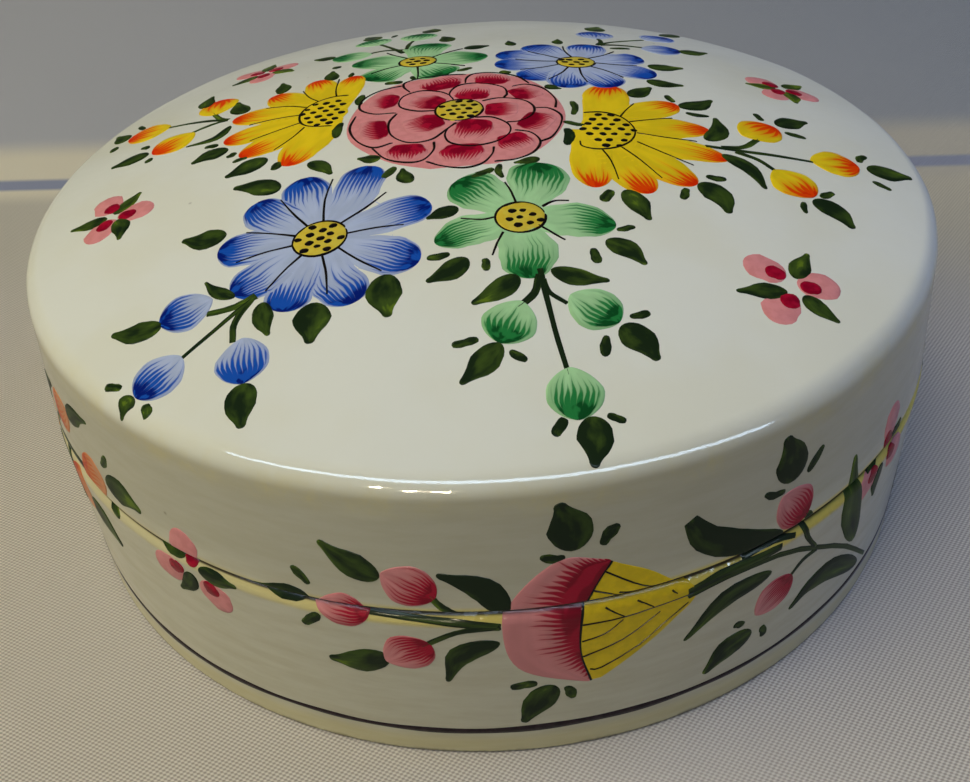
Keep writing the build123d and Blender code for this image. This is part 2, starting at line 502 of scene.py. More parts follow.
PINK = flat_paint("pale_pink", PINKS[0], (0.66, 0.24, 0.23))
CRIMSON = flat_paint("crimson", PINKS[1], PINKS[2])
YELLOW = flat_paint("yellow", YELLOWS[0], (0.74, 0.53, 0.012))
DISC_YELLOW = flat_paint("disc_yellow", (0.66, 0.53, 0.06), (0.64, 0.46, 0.035))
BLACK = flat_paint("ink_line", INK_BLACK, (0.010, 0.006, 0.004))
RING = flat_paint("plum_line", (0.016, 0.008, 0.012), (0.030, 0.018, 0.022))


# ---------------------------------------------------------------- meshes

def new_piece(name, mesh, materials, body):
    """A mesh as a piece that rides on a body."""
    piece = bpy.data.objects.new(name, mesh)
    bpy.context.scene.collection.objects.link(piece)
    for material in materials:
        mesh.materials.append(material)
    mesh.polygons.foreach_set("use_smooth", [True] * len(mesh.polygons))
    mesh.set_sharp_from_angle(angle=math.radians(50))
    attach(piece, body)
    return piece


def arc(centre, radius, start, end, count):
    """Points of an arc in the section, from one angle to another in degrees."""
    turns = np.radians(np.linspace(start, end, count))
    return [(centre[0] + radius * math.cos(t), centre[1] + radius * math.sin(t)) for t in turns]


def run(start, end, count):
    """Evenly spaced points of a straight stretch of the section, both ends included."""
    return [tuple(p) for p in np.linspace(start, end, count)]


def lathe(name, outside, inside, body):
    """Turns a section about the axis: its outside is wavering enamel, its inside plain lining."""
    section = np.array(outside + inside)
    count = len(section)
    steps = np.linspace(0, 2 * math.pi, SEGMENTS, endpoint=False)
    following = np.roll(section, -1, axis=0)
    turning = np.sign(np.sum(section[:, 0] * following[:, 1] - following[:, 0] * section[:, 1]))
    slope = np.gradient(np.array(outside), axis=0)
    slope *= turning / np.linalg.norm(slope, axis=1)[:, None]
    slope = np.vstack([slope, np.zeros((len(inside), 2))])
    vertices = []
    for (radius, z), (dr, dz) in zip(section, slope):
        x, y = radius * np.sin(steps), -radius * np.cos(steps)
        lift = unevenness(x, y, np.full(SEGMENTS, z))
        across = radius + lift * dz
        vertices.append(np.stack([across * np.sin(steps), -across * np.cos(steps), z - lift * dr], axis=1))
    faces, slots = [], []
    for i in range(count):
        if section[i][0] < 1e-6 and section[(i + 1) % count][0] < 1e-6:
            continue
        for j in range(SEGMENTS):
            k, after = (j + 1) % SEGMENTS, (i + 1) % count
            faces.append((i * SEGMENTS + j, i * SEGMENTS + k, after * SEGMENTS + k, after * SEGMENTS + j))
            slots.append(0 if i < len(outside) - 1 else 1)
    mesh = bpy.data.meshes.new(name)
    mesh.from_pydata(np.concatenate(vertices) * MM, [], faces)
    mesh.polygons.foreach_set("material_index", slots)
    work = bmesh.new()
    work.from_mesh(mesh)
    bmesh.ops.remove_doubles(work, verts=work.verts, dist=1e-4 * MM)
    bmesh.ops.recalc_face_normals(work, faces=work.faces)
    work.to_mesh(mesh)
    work.free()
    return new_piece(name, mesh, [ENAMEL, LINING], body)


def make_base_hoop():
    """Wall of the base, from its rounded rim down to its foot."""
    outside = run((CAVITY_R, SEAM_Z), (RIM_CENTRE[0], SEAM_Z), 4)[:-1]
    outside += arc(RIM_CENTRE, RIM_ROUND, 90, 0, 12)
    outside += run((RIM_R - RIM_INSET, RIM_CENTRE[1] - 0.5), (FOOT_R, FOOT_ROUND + 0.1), 26)
    outside += arc((FOOT_R - FOOT_ROUND, FOOT_ROUND), FOOT_ROUND, 0, -90, 5)
    inside = run((CAVITY_R, 0), (CAVITY_R, SEAM_Z - 0.5), 8)
    return lathe("enamel_base_hoop", outside, inside, "base")


def make_lid_band():
    """Leaning side band of the lid, up to where the crown starts."""
    joint_r = LID_EDGE_R - (JOINT_Z - SEAM_Z) * math.tan(LEAN)
    outside = run((LID_CAVITY_R, SEAM_Z), (EDGE_CENTRE[0], SEAM_Z), 4)[:-1]
    outside += arc(EDGE_CENTRE, LID_EDGE_ROUND, -90, math.degrees(LEAN), 8)
    outside += run((LID_EDGE_R - math.tan(LEAN), SEAM_Z + 1.0), (joint_r, JOINT_Z), 14)
    inside = run((LID_CAVITY_R, JOINT_Z), (LID_CAVITY_R, SEAM_Z + 0.5), 6)
    return lathe("enamel_lid_band", outside, inside, "lid")


def make_lid_crown():
    """Crown of the lid: short skirt, rounded shoulder and shallow dome."""
    joint_r = LID_EDGE_R - (JOINT_Z - SEAM_Z) * math.tan(LEAN)
    dome_start = math.degrees(ROUND_END)
    outside = [(joint_r, JOINT_Z)]
    outside += arc(ROUND_CENTRE, SHOULDER_ROUND, math.degrees(LEAN), dome_start, 20)
    outside += arc((0, DOME_CENTRE_Z), DOME_R, dome_start, 90, 64)[1:]
    sphere = DOME_R - CROWN_THICKNESS
    corner_r = LID_CAVITY_R - CROWN_INNER_ROUND
    corner_z = DOME_CENTRE_Z + math.sqrt((sphere - CROWN_INNER_ROUND) ** 2 - corner_r**2)
    corner_end = math.degrees(math.atan2(corner_z - DOME_CENTRE_Z, corner_r))
    inside = arc((0, DOME_CENTRE_Z), sphere, 90, corner_end, 24)[:-1]
    inside += arc((corner_r, corner_z), CROWN_INNER_ROUND, corner_end, 0, 8)
    inside += [(LID_CAVITY_R, JOINT_Z)]
    return lathe("enamel_lid_crown", outside, inside, "lid")


# ---------------------------------------------------------------- brush

def smooth(points, shares):
    """Points at these shares of a smooth curve through given points."""
    points = np.array(points, float)
    if len(points) == 2:
        return points[0] + (points[1] - points[0]) * shares[:, None]
    ends = np.vstack([2 * points[0] - points[1], points, 2 * points[-1] - points[-2]])
    place = shares * (len(points) - 1)
    i = np.minimum(place.astype(int), len(points) - 2)
    t = (place - i)[:, None]
    a, b, c, d = ends[i], ends[i + 1], ends[i + 2], ends[i + 3]
    squared = 2 * a - 5 * b + 4 * c - d
    cubed = 3 * b - a - 3 * c + d
    return 0.5 * (2 * b + (c - a) * t + squared * t**2 + cubed * t**3)


def left_of(points):
    """At each point of a line, the unit vector to its left."""
    slope = np.gradient(points, axis=0)
    slope /= np.maximum(np.linalg.norm(slope, axis=1), 1e-9)[:, None]
    return np.stack([-slope[:, 1], slope[:, 0]], axis=1)


def leaf_shape(t):
    """Round head, widest before the middle, and a narrow tail with a blunt end."""
    head = np.sqrt(np.clip(1 - (1 - t / 0.42) ** 2, 0, 1))
    tail = 0.27 + 0.73 * np.cos(np.clip((t - 0.42) / 0.58, 0, 1) * math.pi / 2) ** 1.9
    end = np.sqrt(np.clip(1 - (np.clip(t - 0.95, 0, 1) / 0.052) ** 2, 0, 1))
    return np.where(t < 0.42, head, tail * np.maximum(end, 0.35))


def dab_shape(t):
    """Short dab of even width with rounded ends."""
    return np.clip(4 * t * (1 - t), 0, 1) ** 0.32


def round_shape(t):
    return 2 * np.sqrt(np.clip(t * (1 - t), 0, 1))


def bud_shape(t):
    """Nearly round, a little fuller towards the far end."""
    return np.sin(math.pi * t**1.12) ** 0.55


def comb_shape(t):
    """Short broad patch that spreads a little outwards."""
    return (0.78 + 0.3 * np.sin(math.pi * t)) * np.clip(np.minimum(t, 1 - t) / 0.04, 0.7, 1)


def stem_shape(t):
    return 1 - 0.25 * t


def line_shape(t):
    return 1 - 0.4 * t


def petal_shape(root, widest, point=2.0):
    """Width along a petal: its share at the root, where it is widest, and how round its tip is."""
    def shape(t):
        rise = root + (1 - root) * np.sin(np.clip(t / widest, 0, 1) * math.pi / 2)
        fall = np.clip(1 - np.clip((t - widest) / (1 - widest), 0, 1) ** point, 0, 1) ** 0.5
        return rise * fall
    return shape


class Brush:
    """Collects the strokes of one piece in flat surface coordinates, and lays them on the box at the end."""

    def __init__(self, seed, move=None):
        self.chance = random.Random(seed)
        self.move = move or (lambda x, y: (x, y))
        self.points = []
        self.faces = []
        self.uvs = []
        self.slots = []
        self.tones = []
        self.paints = []
        self.number = 0
        self.tone = 0.3

    def patch(self, left, right, paint, level, columns, sideways=False):
        """A closed film of paint between two edges. Its pattern runs along them, or across if sideways."""
        first = len(self.points)
        rows = len(left)
        width = np.linalg.norm(left - right, axis=1)
        level += self.number * LAYER_STEP
        bevel = [0.0, 0.72, *[1.0] * (columns - 3), 0.72, 0.0]
        tone = self.tone + self.chance.uniform(-0.16, 0.16)
        for i in range(rows):
            rim = min(BEVEL / max(width[i], 1e-6), 0.3)
            middle = np.linspace(rim, 1 - rim, columns - 3) if columns > 4 else [0.5]
            shares = [0.0, 0.4 * rim, *middle, 1 - 0.4 * rim, 1.0]
            thick = 1.0 if 0 < i < rows - 1 else 0.5
            for j, q in enumerate(shares):
                x, y = self.move(*(left[i] + (right[i] - left[i]) * q))
                self.points.append((x, y, -EMBED + (level + EMBED) * bevel[j] * thick))
                t = i / (rows - 1)
                across, along = (0.02 + 0.96 * t, q) if sideways else (0.02 + 0.96 * q, t)
                self.uvs.append((along, across + self.number))
                self.tones.append(tone)
        wide = columns + 1
        made = []
        for i in range(rows - 1):
            a = first + i * wide
            for j in range(columns):
                made.append((a + j, a + j + 1, a + wide + j + 1, a + wide + j))
            made.append((a, a + wide, a + wide + columns, a + columns))
        made.append(tuple(range(first, first + wide)))
        made.append(tuple(range(first + (rows - 1) * wide, first + rows * wide))[::-1])
        if paint not in self.paints:
            self.paints.append(paint)
        self.faces += made
        self.slots += [self.paints.index(paint)] * len(made)
        self.number += 1

    def stroke(self, points, width, paint, shape, level, rows=16, columns=8, rough=0.05):
        """One brush stroke along a spine, as wide as its shape says, with a hand-made edge."""
        shares = (1 - np.cos(np.linspace(0, math.pi, rows + 1))) / 2
        spine = smooth(points, shares)
        side = left_of(spine)
        half = 0.5 * width * np.maximum(shape(shares), 0.06)
        edges = []
        for sign in (1, -1):
            phase = self.chance.uniform(0, 6)
            pitch = self.chance.uniform(5, 9)
            waver = np.sin(pitch * shares + phase) + 0.4 * np.sin(3.1 * pitch * shares + phase)
            edges.append(spine + sign * side * (half * (1 + rough * waver))[:, None])
        self.patch(*edges, paint, level, columns)

    def leaf(self, x0, y0, x1, y1, width, bend=None):
        """A leaf from its round end to its tail, bent a little unless it says how much."""
        start, end = np.array([x0, y0]), np.array([x1, y1])
        along = end - start
        side = np.array([-along[1], along[0]])
        if bend is None:
            bend = self.chance.uniform(-0.09, 0.09)
        middle = start + 0.5 * along + bend * side
        tail = end - self.chance.uniform(0.3, 1.0) * bend * side
        if width < NARROW_LEAF:
            self.stroke([start, middle, tail], width, GREEN, dab_shape, LEAF, 8, 4, rough=0.12)
        else:
            self.stroke([start, middle, tail], width, GREEN, leaf_shape, LEAF, 14, 8)

    def leaves(self, tone, rows):
        """Leaves of one tone, from nearly black at 0 to olive at 1."""
        self.tone = tone
        for row in rows:
            self.leaf(*row)

    def stems(self, *rows):
        """Stems, each given as its width and the points it runs through."""
        for width, *points in rows:
            self.stroke(points, width, GREEN, stem_shape, LEAF, 14, 4, rough=0.1)

    def line(self, points, width=0.40):
        self.stroke(points, width, BLACK, line_shape, INK, 12, 4, rough=0.14)

    def edge_line(self, points, width):
        """Black line along points that are already close together."""
        side = left_of(points)
        phase = self.chance.uniform(0, 6)
        half = 0.5 * width * (1 + 0.25 * np.sin(phase + np.linspace(0, 11, len(points))))[:, None]
        self.patch(points + side * half, points - side * half, BLACK, INK, 4)

    def curve(self, points, width=0.34):
        """Black line through given points."""
        self.edge_line(smooth(points, np.linspace(0, 1, 6 * len(points))), width)

    def blob(self, x, y, width, height, paint, level, angle=0.0):
        """A round dab of paint."""
        reach = 0.5 * width * np.array([math.cos(angle), math.sin(angle)])
        centre = np.array([x, y])
        self.stroke([centre - reach, centre + reach], height, paint, round_shape, level, 10, 6, rough=0.08)

    def dots(self, x, y, width, height, pitch, angle=0.0):
        """Black seed dots in staggered rows over a flower's middle."""
        c, s = math.cos(angle), math.sin(angle)
        reach = int(width / pitch) + 2
        for row in range(-reach, reach + 1):
            for column in range(-reach, reach + 1):
                a = (column + 0.5 * (row % 2)) * pitch + self.chance.uniform(-0.16, 0.16)
                b = 0.86 * row * pitch + self.chance.uniform(-0.16, 0.16)
                if math.hypot(a / (0.5 * width), b / (0.5 * height)) > 0.86:
                    continue
                size = self.chance.uniform(0.80, 1.12)
                centre = (x + c * a - s * b, y + s * a + c * b)
                self.blob(*centre, size, 0.92 * size, BLACK, INK + 0.01, self.chance.uniform(-0.5, 0.4))

    def disc(self, x, y, width, height, angle=0.0):
        """Yellow middle of a flower, outlined in black, with seed dots."""
        self.blob(x, y, width, height, DISC_YELLOW, DAB, angle)
        turns = np.linspace(0, 2 * math.pi, 34)
        a, b = 0.5 * width * np.cos(turns), 0.5 * height * np.sin(turns)
        c, s = math.cos(angle), math.sin(angle)
        self.edge_line(np.stack([x + c * a - s * b, y + s * a + c * b], axis=1), 0.40)
        self.dots(x, y, width, height, 1.42, angle)

    def petal(self, x, y, angle, length, width, paint, shape):
        """A petal from a flower's middle outwards, with a slight bend; angles in degrees."""
        turn = math.radians(angle)
        out = np.array([math.cos(turn), math.sin(turn)])
        side = np.array([-out[1], out[0]])
        centre = np.array([x, y])
        bend = self.chance.uniform(-0.05, 0.05) * length
        middle = centre + 0.5 * (PETAL_START + length) * out + bend * side
        spine = [centre + PETAL_START * out, middle, centre + length * out]
        self.stroke(spine, width, paint, shape, WASH, 20, 12, rough=0.07)

    def buds(self, paint, length, width, *rows):
        """Buds at their places, whose dark ends point along an angle in degrees."""
        for x, y, angle in rows:
            turn = math.radians(angle)
            out = 0.5 * length * np.array([math.cos(turn), math.sin(turn)])
            centre = np.array([x, y])
            spine = [centre - out, centre + out]
            self.stroke(spine, width, paint, bud_shape, WASH + 0.01, 18, 12, rough=0.03)

    def sprig(self, x, y, blooms, leaves):
        """Three pink blobs with crimson hearts between three leaves, placed about a centre."""
        for dx, dy, heart_x, heart_y in blooms:
            angle = math.atan2(dy, dx)
            self.blob(x + dx, y + dy, 4.9, 4.2, PINK, WASH, angle)
            self.blob(x + heart_x, y + heart_y, 2.4, 2.2, CRIMSON, DAB, angle)
        for x0, y0, x1, y1 in leaves:
            self.leaf(x + x0, y + y0, x + x1, y + y1, 2.5)

    def mesh(self, name, place, keep=None):
        """The strokes as a mesh laid on the box. keep=(edge, side, bends) takes one side of a height on the
        wall, and cuts that at more heights so that it can bend."""
        mesh = bpy.data.meshes.new(name)
        mesh.from_pydata(self.points, [], self.faces)
        mesh.polygons.foreach_set("material_index", self.slots)
        layer = mesh.uv_layers.new(name="stroke")
        corners = np.zeros(len(mesh.loops), int)
        mesh.loops.foreach_get("vertex_index", corners)
        layer.data.foreach_set("uv", np.array(self.uvs)[corners].ravel())
        mesh.attributes.new("tone", "FLOAT", "POINT").data.foreach_set("value", self.tones)
        work = bmesh.new()
        work.from_mesh(mesh)
        if keep:
            edge, side, bends = keep
            for height in [edge, *bends]:
                everything = [*work.verts, *work.edges, *work.faces]
                bmesh.ops.bisect_plane(work, geom=everything, plane_co=(0, height, 0), plane_no=(0, side, 0),
                                       clear_inner=height == edge)
                open_edges = [e for e in work.edges if e.is_boundary]
                if open_edges:
                    bmesh.ops.holes_fill(work, edges=open_edges, sides=0)
        bmesh.ops.recalc_face_normals(work, faces=work.faces)
        work.to_mesh(mesh)
        work.free()
        flat = np.zeros(len(mesh.vertices) * 3)
        mesh.vertices.foreach_get("co", flat)
        flat = flat.reshape(-1, 3)
        mesh.vertices.foreach_set("co", (place(flat[:, 0], flat[:, 1], flat[:, 2]) * MM).ravel())
        if flip_needed(mesh, place):
            mesh.flip_normals()
        mesh.update()
        return mesh

    def lay_on_top(self, name):
        return new_piece(name, self.mesh(name, on_top), self.paints, "lid")

    def lay_on_wall(self, name):
        """Wall strokes, cut at the seam into the lid's piece and the base's piece."""
        lid = self.mesh(name + "_lid", on_wall, keep=(LID_PAINT_EDGE, 1, LID_BENDS))
        base = self.mesh(name + "_base", on_wall, keep=(BASE_PAINT_EDGE, -1, BASE_BENDS))
        new_piece(name + "_lid", lid, self.paints, "lid")
        new_piece(name + "_base", base, self.paints, "base")


def flip_needed(mesh, place):
    """Whether laying flat coordinates on this surface turns them inside out."""
    corners = ((0.0, -9.0, 0.0), (1.0, -9.0, 0.0), (0.0, -8.0, 0.0), (0.0, -9.0, 1.0))
    origin, along, across, over = (place(*map(np.array, corner)) for corner in corners)
    return np.dot(np.cross(along - origin, across - origin), over - origin) < 0


# ---------------------------------------------------------------- the painting on the top

BROAD = petal_shape(0.42, 0.70, 2.6)
OVAL = petal_shape(0.5, 0.55)
POINTED = petal_shape(0.55, 0.5, 1.5)
BLUNT = petal_shape(0.75, 0.55, 2.6)
KNOBBED = petal_shape(0.42, 0.45, 1.5)


def spokes(brush, x, y, radius, ends):
    """Black lines from the edge of a flower's middle to points between its petals."""
    for end_x, end_y in ends:
        angle = math.atan2(end_y - y, end_x - x)
        start = (x + radius * math.cos(angle), y + radius * math.sin(angle))
        bend = brush.chance.uniform(-0.4, 0.4)
        middle = (0.5 * (start[0] + end_x) - bend * math.sin(angle),
                  0.5 * (start[1] + end_y) + bend * math.cos(angle))
        brush.line([start, middle, (end_x, end_y)])


def blue_flower(brush):
    """Nine-petalled blue daisy."""
    x, y = -18.2, -24.0
    brush.blob(x + 0.3, y, 17.0, 16.0, BLUE_WASH, UNDER)
    petals = [(102, 13.4), (68, 14.6), (17, 13.4), (-28, 12.9), (-69, 12.2),
              (-107, 11.7), (-143, 11.8), (175, 12.1), (133, 12.6)]
    for angle, length in petals:
        brush.petal(x, y, angle, length, 6.0, BLUE_PETAL, BROAD)
    spokes(brush, x, y, 3.0, [(-17.4, -12.2), (-10.7, -16.7), (-8.5, -23.5), (-10.9, -31.0), (-16.8, -33.6),
                              (-23.8, -31.6), (-27.8, -25.8), (-27.2, -20.5), (-23.6, -14.9)])
    brush.disc(x, y, 6.3, 6.1, 0.4)


def blue_spray(brush):
    """The blue daisy with its leaves and three buds."""
    blue_flower(brush)
    brush.leaves(0.30, [
        (-24, -12.8, -30, -10, 3.6), (-29.6, -20, -35.2, -19.6, 3.6), (-20.8, -7.3, -17.5, -10.9, 2.4),
        (-9.7, -11.4, -11.2, -13.7, 1.3), (-7.7, -15.2, -9, -12, 2.2), (-10.3, -31.6, -10.3, -38, 4.0),
        (-18.2, -34.5, -18.4, -40.3, 4.1), (-23.9, -33.2, -23, -38.3, 2.5), (-27.2, -31.6, -31.2, -28.3, 1.8),
        (-35.3, -33.5, -41.2, -33.5, 3.2), (-24.6, -44.2, -25, -49.6, 3.6), (-37.2, -42.7, -38.4, -44.4, 2.3),
        (-38.6, -41.4, -40.6, -40.5, 1.1), (-35.4, -44.2, -35.0, -45.8, 1.3),
    ])
    brush.stems(
        (1.2, (-24.8, -31.9), (-27, -33.2), (-30.2, -33.4)),
        (0.75, (-24.9, -31.9), (-28, -35.2), (-32.4, -39.2)),
        (1.0, (-25.0, -32.0), (-26.8, -35.4), (-26.7, -38.4)),
    )
    brush.buds(BLUE_BUD, 6.2, 6.0, (-32.7, -32.3, 200), (-34.5, -41, 225), (-25.4, -41.1, 275))


def green_flower(brush):
    """Five-petalled green flower."""
    x, y = 4.7, -23.7
    petals = [(73, 11.4, 7.2, BROAD), (134, 10.6, 7.0, BROAD), (-10, 10.8, 6.4, POINTED),
              (-87, 10.2, 6.8, OVAL), (-160, 10.4, 5.6, POINTED)]
    for angle, length, width, shape in petals:
        brush.petal(x, y, angle, length, width, GREEN_PETAL, shape)
    for line in (
        [(4.4, -21.2), (4.0, -19.0), (3.3, -16.7)], [(7.3, -21.8), (8.8, -20.8), (10.5, -20.8)],
        [(6.6, -25.2), (9.4, -27.9)], [(2.6, -26.2), (1.8, -28.2), (1.2, -30)],
        [(1.9, -23.5), (0.3, -23.8), (-2.1, -23.3)],
    ):
        brush.line(line)
    brush.disc(x, y, 5.7, 5.5, 0.2)


def green_spray(brush):
    """The green flower with its leaves and three buds towards the lid's front edge."""
    green_flower(brush)
    brush.leaves(0.22, [
        (2.2, -13.7, -0.6, -15.3, 1.3), (2.9, -12.7, 2.9, -15.8, 1.0), (7.8, -11.7, 4.6, -12.7, 1.7),
        (-2.3, -21.2, -6, -22.8, 2.4), (-3.4, -29.3, -6, -29.8, 1.2), (-1.5, -30.2, -6, -33.5, 3.0),
        (0.3, -30.4, 0.5, -32.4, 1.1), (3.8, -33.3, -1.2, -37.3, 3.0), (7.4, -32.6, 13.5, -34.6, 2.7),
        (17.5, -25.7, 15.3, -26.3, 1.0), (13.9, -28, 18, -31.8, 3.0), (12.3, -29.3, 12.6, -31.8, 1.3),
    ])
    brush.leaves(0.02, [
        (1.4, -42.7, -2.8, -47.6, 3.1), (-0.8, -42, -3.6, -42.6, 1.2), (2.3, -43.7, 3.9, -45.2, 1.1),
        (14, -40.8, 17.3, -45.3, 3.7), (17.2, -39, 15, -39.7, 1.1), (12.3, -42.1, 11.8, -44.9, 1.2),
        (9.7, -51.9, 9.5, -57.2, 3.7), (7.1, -52, 5.9, -54, 1.3), (11.2, -51.8, 13, -52.5, 1.0),
    ])
    brush.stems(
        (0.8, (6.2, -32.3), (6.5, -36), (7.2, -42), (8, -47.2)),
        (1.1, (6.1, -33.2), (5.4, -36.0), (3.5, -38.0)),
        (0.8, (6.4, -34), (7, -36), (8.7, -37.7)),
    )
    brush.buds(GREEN_BUD, 6.2, 6.0, (2.6, -39.9, 245), (11.5, -38.4, 320), (8.3, -49.2, 272))


# Rose petals: where the crimson comb starts and ends with its width, then the outline.
ROSE_PETALS = [
    ((0.2, 5.4, 0.3, 9.8, 4.6),
     [(-2.4, 5.9), (-2.9, 8.2), (-1.6, 10.8), (1.2, 11.2), (4.2, 9.4), (4.8, 7.0), (4.3, 5.5)]),
    ((-3.9, 4.6, -8.0, 7.0, 4.2),
     [(-4.6, 2.7), (-7.4, 3.2), (-9.6, 5.2), (-9.2, 8.4), (-6.8, 9.9), (-4.2, 9.0), (-3.0, 7.7)]),
    ((-3.8, -0.2, -8.8, -1.6, 4.6),
     [(-9.9, 3.0), (-10.9, 0.2), (-10.4, -3.4), (-8.2, -5.8), (-5.4, -5.6), (-3.4, -3.2), (-2.2, -1.4)]),
    ((0.6, -0.9, -0.9, -6.4, 4.8),
     [(0.3, -0.3), (2.6, -0.6), (4.5, -2.8), (4.5, -5.2), (2.8, -7.3), (-0.2, -8.1), (-2.8, -7.0),
      (-3.6, -5.0), (-3.2, -3.0), (-2.0, -1.5)]),
    ((1.7, 2.0, 6.0, 1.6, 4.2),
     [(1.4, 4.7), (3.8, 5.4), (6.8, 4.5), (8.1, 2.2), (7.6, -0.4), (5.9, -2.0), (4.3, -2.2)]),
    ((-3.4, 9.9, -4.8, 14.4, 5.6),
     [(-8.3, 9.8), (-9.2, 12.0), (-9.0, 13.8), (-6.8, 15.0), (-3.4, 15.5), (-0.5, 15.2)]),
    ((2.6, 10.6, 3.4, 14.6, 4.8),
     [(-0.7, 11.6), (-0.5, 13.6), (0.6, 15.2), (3.4, 15.2), (6.4, 13.4), (8.0, 10.4)]),
    ((5.4, 6.2, 9.2, 7.8, 4.2),
     [(5.6, 9.4), (7.6, 10.0), (9.8, 8.4), (11.1, 4.8), (10.9, 1.9)]),
    ((6.3, -1.2, 10.0, -3.2, 5.4),
     [(8.2, 1.9), (10.0, 1.7), (11.4, -0.4), (11.1, -3.2), (9.8, -6.4), (8.2, -7.7)]),
    ((4.2, -5.6, 6.0, -9.4, 4.4),
     [(5.2, -4.5), (7.2, -5.3), (8.2, -7.6), (7.2, -10.2), (4.9, -11.8), (2.3, -12.1)]),
    ((-1.5, -7.4, -1.7, -11.8, 5.2),
     [(2.4, -8.6), (2.1, -10.4), (0.8, -12.4), (-1.4, -13.1), (-4.0, -12.3), (-6.0, -10.9)]),
    ((-8.2, -6.2, -8.6, -10.2, 4.8),
     [(-5.0, -6.2), (-5.1, -8.4), (-6.4, -10.5), (-8.4, -10.7), (-11.0, -9.3), (-12.8, -6.2)]),
    ((-11.0, -0.9, -14.6, -1.4, 5.6),
     [(-10.2, -5.4), (-12.6, -6.1), (-14.8, -3.8), (-16.0, 0.0), (-15.4, 3.8)]),
    ((-9.8, 7.1, -13.6, 7.7, 4.6),
     [(-10.0, 3.2), (-13.0, 3.7), (-15.0, 6.0), (-14.6, 9.2), (-12.4, 11.6), (-9.4, 12.6)]),
]


def rose(brush):
    """Full rose: a pink ground, crimson combed outwards in every petal, and an outline round each."""
    left = smooth([(-5.0, -13.0), (-11.0, -9.9), (-16.0, -3.0), (-15.8, 5.0), (-12.0, 12.0), (-5.0, 15.6)],
                  np.linspace(0, 1, 30))
    right = smooth([(2.0, -12.9), (8.0, -9.6), (11.8, -2.4), (11.4, 5.0), (8.2, 11.6), (2.0, 15.8)],
                   np.linspace(0, 1, 30))
    brush.patch(left, right, PINK, GROUND, 22)
    for (x0, y0, x1, y1, width), outline in ROSE_PETALS:
        brush.stroke([(x0, y0), (x1, y1)], width, ROSE_PETAL, comb_shape, WASH, 16, 10, rough=0.06)
        brush.curve(outline)
    brush.disc(-1.7, 2.4, 6.2, 6.6)
    brush.leaves(0.4, [(-11.6, -8.9, -14.6, -8.4, 2.0)])


def half_daisy(brush, ground, petals, lines, oval, outline):
    """Yellow flower half hidden behind the rose: petals on its outer side only."""
    x, y, width, height = oval
    brush.patch(*(smooth(edge, np.linspace(0, 1, 24)) for edge in ground), YELLOW, GROUND, 12)
    for x0, y0, x1, y1, petal_width, shape in petals:
        bend = brush.chance.uniform(-0.4, 0.4)
        middle = (0.5 * (x0 + x1) + bend, 0.5 * (y0 + y1) + 0.5 * bend)
        brush.stroke([(x0, y0), middle, (x1, y1)], petal_width, YELLOW_PETAL, shape, WASH, 20, 12, rough=0.06)
    brush.blob(x, y, 0.96 * height, 0.96 * width, YELLOW, WASH + 0.01, math.pi / 2)
    for line in lines:
        brush.line(line, 0.32)
    brush.dots(x, y, 1.12 * width, 1.06 * height, 1.62)
    brush.curve(outline)


